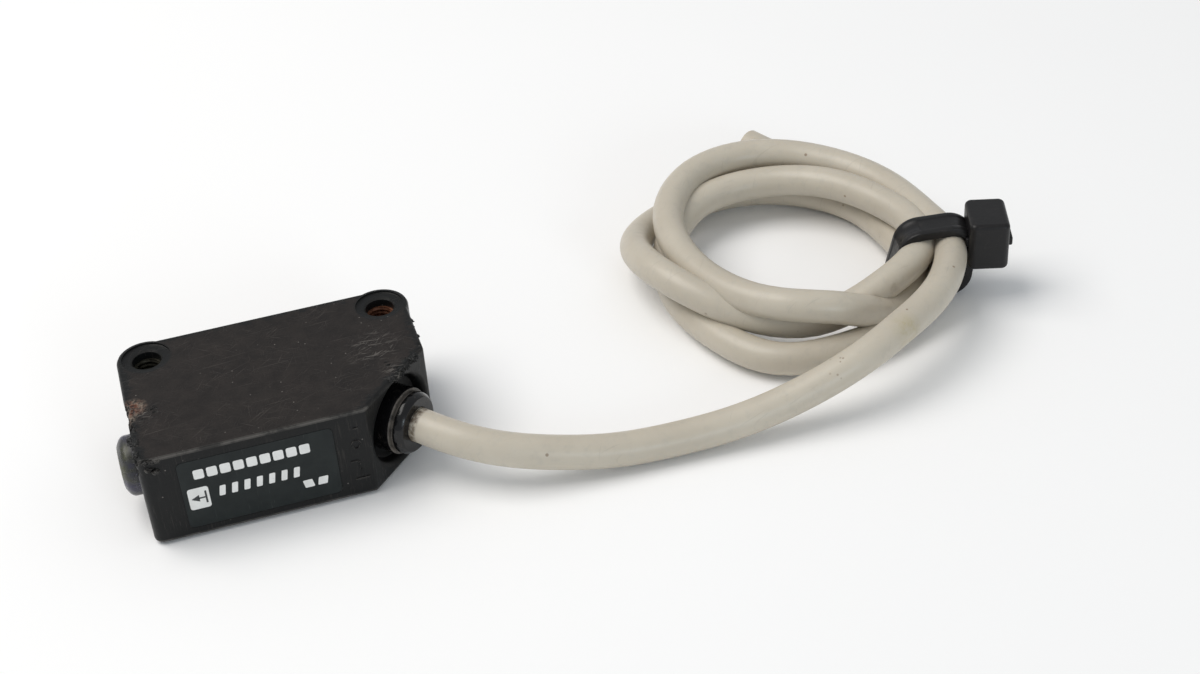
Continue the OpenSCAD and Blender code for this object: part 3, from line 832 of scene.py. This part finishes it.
# ---------------------------------------------------------------- case
# Broken edges: from, to, how many crumbs, and their size
CRUMB_LINES = [((-15.2, -7.6, 10.5), (-14.8, -11.2, 10.7), 14, 0.36),
               ((-15.5, -11.6, 10.8), (-15.4, -16.2, 10.75), 14, 0.42),
               ((-15.3, -16.5, 10.8), (-13.0, -17.0, 10.7), 9, 0.4),
               ((-15.1, -16.9, 9.9), (-13.8, -17.1, 9.7), 5, 0.34),
               ((15.15, -3.6, 10.85), (15.1, -9.0, 10.8), 14, 0.34),
               ((14.7, -9.8, 10.9), (11.2, -13.3, 10.9), 16, 0.32)]


# Bites out of the edges: place, size, and how each is stretched
CHIPS = [(-16.1, -8.3, 11.2, 1.3, (0.8, 1.0, 1.2)), (-16.1, -10.0, 11.3, 1.6, (0.8, 1.0, 1.2)),
         (-16.3, -7.6, 9.9, 1.3, (0.7, 1.1, 1.2)), (-16.35, -6.1, 8.5, 1.2, (0.7, 1.1, 1.2)),
         (-16.35, -4.7, 7.2, 1.1, (0.7, 1.1, 1.2)), (-14.8, -9.4, 11.7, 0.9, (1.1, 1.2, 0.8)),
         (-15.7, -11.7, 11.5, 0.8, (0.9, 1.0, 1)), (-16.1, -12.9, 11.5, 0.6, (0.9, 1.3, 1)),
         (-16.1, -14.4, 11.3, 0.6, (0.9, 1.4, 1.2)), (-15.9, -16.3, 11.3, 0.8, (1.0, 1.1, 1.1)),
         (-14.8, -17.4, 11.3, 0.7, (1.3, 0.8, 1)), (-16.1, -16.4, 9.6, 0.6, (0.9, 1, 1.4)),
         (-13.4, -17.5, 11.35, 0.45, (1.5, 0.8, 1)), (15.8, -4.4, 11.4, 0.5, (0.9, 1.4, 1)),
         (15.75, -6.2, 11.4, 0.55, (0.9, 1.2, 1)), (15.7, -8.7, 11.5, 0.7, (0.9, 1.4, 0.9)),
         (14.6, -10.6, 11.5, 0.75, (1.3, 0.9, 0.9)), (13.1, -12.6, 11.4, 0.6, (1.2, 1.1, 0.8)),
         (11.7, -13.6, 11.4, 0.5, (1.2, 1.0, 0.8)), (9.6, -15.7, 11.4, 0.4, (1.3, 1.0, 0.8)),
         (-10.8, -17.4, 11.35, 0.3, (1.5, 0.8, 0.8)), (-6.4, -17.35, 11.3, 0.22, (1.6, 0.8, 0.8)),
         (8.1, -17.35, 11.35, 0.3, (1.5, 0.8, 0.8)), (4.2, 3.0, 11.4, 0.32, (1.8, 0.8, 0.8)),
         (-8.6, 3.0, 11.4, 0.3, (1.8, 0.8, 0.8))]
# Shallow pits in the top near the worst of them: middle, how many, and the first seed
PITS = [(-14.0, -9.8, 20, 20), (12.4, -11.7, 16, 50)]
PIT_LEVEL = 11.33
EAR_R = 2.8
PROUD = 0.35
RIM = 0.38
FOOT = 0.5


def case_ears(top):
    """The ears round the holes, which stand a little proud."""
    bulge = EAR_R + PROUD
    profile = [(bulge - FOOT, 0.01), (bulge - 0.15, 0.15), (bulge, FOOT), (bulge, top - RIM),
               (bulge - 0.12, top - 0.12), (bulge - RIM, top - 0.01)]
    return [turned(profile, Matrix.Translation(mm(x, 0, 0))) for x in HOLES_X]


def case_hollows(x0, x1, y0, y1, top):
    """The space inside, the window's pocket, and the name label's shallow seat."""
    window_low, window_high = (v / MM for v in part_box("front_window"))
    label_low, label_high = (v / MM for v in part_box("name_label"))
    gap, wall, throat = 0.05, 1.1, 9.4
    seal_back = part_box("window_gasket")[0].y / MM
    upright = Matrix.Rotation(math.pi / 2, 4, "X")
    return [
        plate([(x0 + wall, y0 + wall, 0.5), (6.5, y0 + wall, 0.5), (13, -9.6, 0.5),
               (x1 - wall, -4.2, 0.5), (x0 + wall, -4.2, 0.5)], wall, top - wall, 0.1, steps=2),
        plate(rectangle(-throat, -5, throat, y1 + 1, 0.2), wall, top - wall, 0.05, steps=2),
        plate(rectangle(window_low.x - gap, window_low.z - gap, window_high.x + gap,
                        window_high.z + gap, 0.85), -(y1 + 1), -seal_back, 0.02, upright),
        plate(rectangle(label_low.x - gap, label_low.z - gap, label_high.x + gap,
                        label_high.z + gap, 0.65), -label_high.y, -(y0 - 1), 0.02, upright),
    ]


def case_bores(x0, x1, y0, top):
    """The stepped mounting holes, the gland's pocket, and the indicator's seat."""
    hole = [(2.6, top + 1), (2.6, top - 0.2), (2.5, top - 0.25), (1.75, top - 0.25),
            (1.55, top - 0.45), (1.55, 9.9), (2.1, 9.9), (2.1, 1.3), (1.55, 1.3),
            (1.55, 0.45), (1.75, 0.25), (2.5, 0.25), (2.6, 0.2), (2.6, -1)]
    bores = [turned(hole, Matrix.Translation(mm(x, 0, 0))) for x in HOLES_X]
    gland_at = Matrix.Translation(mm(x1 - CUT_LEG / 2, y0 + CUT_LEG / 2, top / 2)) @ Matrix.Rotation(
        math.radians(-45), 4, "Z") @ Matrix.Rotation(math.pi / 2, 4, "Y")
    bores.append(turned([(2.9, -4), (2.9, -1.3), (4.2, -1.3), (4.5, -1.15), (4.65, -0.7), (4.8, -0.3),
                         (5.05, -0.06), (5.5, 0.06), (5.7, 2)], gland_at))
    cover_at = Matrix.Translation(mm(x0, INDICATOR_Y, top / 2)) @ Matrix.Rotation(-math.pi / 2, 4, "Y")
    bores.append(turned([(2.25, -2), (2.25, -0.3), (3.25, -0.3), (3.25, 0.5)], cover_at))
    return bores


def case_damage():
    """Lumps that take bites out of the edges and pits out of the top."""
    lumps = []
    for i, (x, y, z, size, shape) in enumerate(CHIPS):
        lumps.append(chip_out(x, y, z, size, shape, seed=3.1 * i))
    dice = random.Random(5)
    for middle_x, middle_y, count, first in PITS:
        for i in range(count):
            x = middle_x + dice.uniform(-1.2, 1.2)
            y = middle_y + dice.uniform(-1.4, 1.4)
            size = dice.uniform(0.17, 0.32)
            lumps.append(chip_out(x, y, PIT_LEVEL, size, (1.6, 1, 0.8), seed=first + i))
    return lumps


def make_case(material):
    low, high = (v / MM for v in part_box("case"))
    x0, x1, y0, y1, top = low.x, high.x, low.y, high.y, high.z
    back_r, cut_r = 1.0, 0.6
    outline = [(x0 - PROUD, y0, back_r), (x1 - CUT_LEG, y0, cut_r), (x1, y0 + CUT_LEG, cut_r),
               (x1, y1, EAR_R), (x0 - PROUD, y1, EAR_R)]
    body = mesh_of(plate(outline, 0, top, RIM, steps=14, low_edge=FOOT), "case_shell")
    piece = bpy.data.objects.new("case_shell", body)
    bpy.context.scene.collection.objects.link(piece)
    cut(piece, case_ears(top), "UNION")
    cut(piece, case_hollows(x0, x1, y0, y1, top) + case_bores(x0, x1, y0, top) + case_damage())
    piece.data.materials.clear()
    piece.data.materials.append(material)
    finish_shading(piece, 30)
    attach(piece, ROOT)
    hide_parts("case")
    return piece


def make_crumbs(material):
    """Crushed plastic that stands up along the broken edges."""
    dice = random.Random(11)
    lumps = []
    for start, end, count, size in CRUMB_LINES:
        for i in range(count):
            along = (i + dice.uniform(0.1, 0.9)) / count
            x, y, z = (a + (b - a) * along + dice.uniform(-0.22, 0.22) for a, b in zip(start, end))
            shape = (dice.uniform(0.8, 1.5), dice.uniform(0.8, 1.8), dice.uniform(0.5, 0.8))
            lumps.append(chip_out(x, y, z, size * dice.uniform(0.6, 1.15), shape, seed=90 + 1.7 * i))
    return add_piece("edge_crumbs", joined(lumps, "edge_crumbs"), material, 60)


def make_moulded_marks(material):
    """The raised ring and bars beside the label. They mean nothing."""
    y0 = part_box("case")[0].y / MM
    outward = Matrix.Rotation(math.pi / 2, 4, "X")
    ring_at = Matrix.Translation(mm(6.07, y0, 6.9)) @ outward
    sides, rise, sunk = 40, 0.11, 0.02
    rings = []
    for radius, height in ((0.42, -sunk), (0.44, rise), (0.6, rise), (0.63, -sunk)):
        rings.append([ring_at @ mm(radius * 0.85 * math.cos(2 * math.pi * k / sides),
                                   radius * math.sin(2 * math.pi * k / sides), height)
                      for k in range(sides)])
    marks = [loft(rings, closed_ends=False)]
    for x, z, w, h in ((5.6, 4.8, 0.75, 0.14), (6.1, 4.2, 0.14, 1.0), (6.2, 2.4, 1.5, 0.16),
                       (6.2, 3.2, 0.14, 0.9), (6.25, 9.05, 0.5, 0.14)):
        marks.append(plate(rectangle(x - w / 2, z - h / 2, x + w / 2, z + h / 2, 0.05), -y0 - sunk,
                           -y0 + rise, 0.03, outward, steps=3, edge_steps=2))
    return add_piece("moulded_marks", joined(marks, "moulded_marks"), material)


def make_label_print(white, dark):
    """A white block with an arrow, and plain bars in place of words."""
    y0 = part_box("name_label")[0].y / MM
    outward = Matrix.Rotation(math.pi / 2, 4, "X")
    film, lift = 0.012, 0.006

    def sheet(name, shapes, rise, material):
        parts = [plate(corners, -y0 + rise - film, -y0 + rise, 0.003, outward, steps=4, edge_steps=1)
                 for corners in shapes]
        return add_piece(name, joined(parts, name), material)

    def slanted(x, z, w, h, r, lean=0.0):
        return [(x, z, r), (x + w, z, r), (x + w + lean, z + h, r), (x + lean, z + h, r)]

    shapes = [rectangle(-11.6, 3.5, -9.45, 6.25, 0.3)]
    # heavy upper row
    for i in range(9):
        shapes.append(slanted(-10.6 + 1.36 * i, 7.35, 1.08, 1.2, 0.2))
    # light slanted lower row
    for i in range(7):
        shapes.append(slanted(-8.5 + 1.28 * i, 4.55, 0.62, 1.3, 0.12, lean=0.22))
    # two small blocks at the lower right
    shapes.append(slanted(0.2, 2.85, 1.0, 1.0, 0.12, lean=-0.2))
    shapes.append(slanted(1.5, 2.85, 1.0, 1.0, 0.12, lean=0.2))
    pieces = [sheet("label_print", shapes, film, white)]
    arrow = [[(-11.35, 4.87, 0.02), (-10.5, 4.42, 0.02), (-10.5, 5.32, 0.02)],
             rectangle(-10.6, 4.77, -9.9, 4.97, 0.03), rectangle(-9.9, 4.1, -9.7, 5.7, 0.03)]
    pieces.append(sheet("label_arrow", arrow, film + lift, dark))
    return pieces


def make_inserts(material):
    """Two sleeves with a helical thread in their bores."""
    low, high = (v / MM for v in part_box("thread_inserts"))
    outer, bore, depth, pitch = 2.1, 1.25, 0.14, 0.5
    sides, per_turn = 40, 8
    rows = int((high.z - low.z) / pitch * per_turn)
    angles = [2 * math.pi * k / sides for k in range(sides)]
    sleeves = []
    for x in HOLES_X:
        rings = []
        for z in (low.z, high.z):
            rings.append([mm(x + outer * math.cos(a), outer * math.sin(a), z) for a in angles])
        for i in range(rows, -1, -1):
            z = low.z + (high.z - low.z) * i / rows
            ring = []
            for k, a in enumerate(angles):
                phase = (z / pitch - k / sides) % 1
                r = bore + depth * (1 - abs(2 * phase - 1))
                ring.append(mm(x + r * math.cos(a), r * math.sin(a), z))
            rings.append(ring)
        sleeves.append(closed_skin(rings))
    sleeves = joined(sleeves, "threaded_inserts")
    piece = add_piece("threaded_inserts", sleeves, material, 50)
    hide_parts("thread_inserts")
    return piece


# ---------------------------------------------------------------- floor and light
def make_floor():
    half, level = 4.0, cad_low.z - 0.0002
    bm = bmesh.new()
    signs = ((-1, -1), (1, -1), (1, 1), (-1, 1))
    bm.faces.new([bm.verts.new((sx * half, sy * half, level)) for sx, sy in signs])
    floor = bpy.data.objects.new("floor", mesh_of(bm, "floor"))
    bpy.context.scene.collection.objects.link(floor)
    g = Graph("floor_pale")
    g.set(Base_Color=g.mix(g.noise(60, detail=3), (0.95, 0.95, 0.95), (0.97, 0.97, 0.97)), Roughness=0.9)
    floor.data.materials.append(g.material)


def add_lamp(name, at, aim, size, power, colour=(1, 1, 1)):
    data = bpy.data.lights.new(name, "AREA")
    data.shape = "SQUARE"
    data.size = size
    data.energy = power
    data.color = colour
    lamp = bpy.data.objects.new(name, data)
    lamp.location = at
    lamp.rotation_euler = (Vector(aim) - Vector(at)).to_track_quat("-Z", "Y").to_euler()
    bpy.context.scene.collection.objects.link(lamp)


def make_light():
    world = bpy.data.worlds.new("studio")
    world.use_nodes = True
    sky = world.node_tree.nodes["Background"]
    sky.inputs["Color"].default_value = (0.94, 0.97, 1.0, 1)
    sky.inputs["Strength"].default_value = 0.5
    bpy.context.scene.world = world
    centre = (0.03, 0, 0)
    add_lamp("key", (-0.25, 0.1, 0.55), centre, 0.45, 2.6, (1.0, 0.965, 0.925))
    add_lamp("front", (0.22, -0.76, 0.26), centre, 0.22, 0.95, (0.8, 0.92, 1.0))
    bpy.context.scene.view_settings.view_transform = "Standard"


# ---------------------------------------------------------------- build
jacket = cable_jacket()
black_plastic = case_plastic()
nylon = tie_nylon()
core_brown = plain_family("core_brown_pvc", (0.08, 0.03, 0.015), (0.13, 0.055, 0.028), 0.42, 1.2)
core_blue = plain_family("core_blue_pvc", (0.015, 0.04, 0.16), (0.03, 0.07, 0.24), 0.42, 1.2)

cable = make_cable(jacket)
tie = [make_tie_strap(nylon), make_tie_head(nylon), make_tie_tail(nylon)]
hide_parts("cable_tie")
cores = make_cable_end(core_blue, core_brown)

make_case(black_plastic)
make_crumbs(black_plastic)
make_moulded_marks(black_plastic)
make_label_print(white_ink(), dark_ink())
make_inserts(insert_metal())
from_node("gland_rings", "cable_gland", gland_rubber(), 0.12)
from_node("indicator_dome", "indicator_cover", smoky_cover(), 0.25, 3, 20, 45)
from_node("window_plate", "front_window", red_window(), 0.12)

INNER = {
    "window_gasket": plain_family("gasket_rubber", (0.012, 0.012, 0.012), (0.03, 0.03, 0.03), 0.7, 1.5),
    "collimating_lens": plain_family("lens_clear_acrylic", (0.86, 0.88, 0.9), (0.93, 0.94, 0.95), 0.1, 3,
                                     transmission=0.9, bump_mm=0.002),
    "lens_barrel": plain_family("barrel_black_plastic", (0.008, 0.008, 0.008), (0.02, 0.02, 0.02),
                                0.55, 1.5),
    "aperture_plate": plain_family("plate_steel", (0.42, 0.42, 0.44), (0.58, 0.58, 0.6), 0.35, 0.8,
                                   metallic=1.0),
    "emitter_led": plain_family("led_clear_epoxy", (0.75, 0.7, 0.62), (0.86, 0.82, 0.75), 0.2, 0.9,
                                transmission=0.4),
    "led_board": circuit_board(),
    "main_board": circuit_board(),
    "board_link_pins": plain_family("pins_gold", (0.62, 0.46, 0.18), (0.8, 0.62, 0.28), 0.25, 0.5,
                                    metallic=1.0),
    "driver_ic": plain_family("ic_black_epoxy", (0.012, 0.012, 0.013), (0.03, 0.03, 0.032), 0.5, 0.7),
    "chip_resistors": chip_ends("resistor_ceramic", (0.012, 0.012, 0.014), (0.03, 0.03, 0.034), 1.2, 0.3),
    "chip_capacitors": chip_ends("capacitor_ceramic", (0.34, 0.22, 0.11), (0.46, 0.31, 0.17), 1.6, 0.3),
    "tantalum_capacitor": plain_family("tantalum_yellow", (0.6, 0.36, 0.06), (0.75, 0.48, 0.1), 0.45, 0.8),
    "polarity_diode": plain_family("diode_black_epoxy", (0.012, 0.012, 0.012), (0.03, 0.03, 0.03), 0.5, 0.6),
    "indicator_led": plain_family("indicator_led_epoxy", (0.6, 0.15, 0.08), (0.75, 0.25, 0.14), 0.3, 0.6,
                                  transmission=0.3),
    "light_guide": plain_family("guide_clear_acrylic", (0.8, 0.83, 0.86), (0.9, 0.92, 0.94), 0.12, 2,
                                transmission=0.85, bump_mm=0.004),
    "cable_clamp": plain_family("clamp_zinc", (0.5, 0.48, 0.42), (0.64, 0.62, 0.56), 0.35, 0.8,
                                metallic=1.0),
    "cable_tail": jacket,
    "brown_core": core_brown,
    "blue_core": core_blue,
    "solder_joints": plain_family("solder_tin", (0.55, 0.55, 0.57), (0.72, 0.72, 0.74), 0.28, 0.4,
                                  metallic=1.0),
    "name_label": label_film(),
}
for node_name, node_material in INNER.items():
    for material_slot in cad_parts[node_name].material_slots:
        material_slot.material = node_material

make_floor()
make_light()
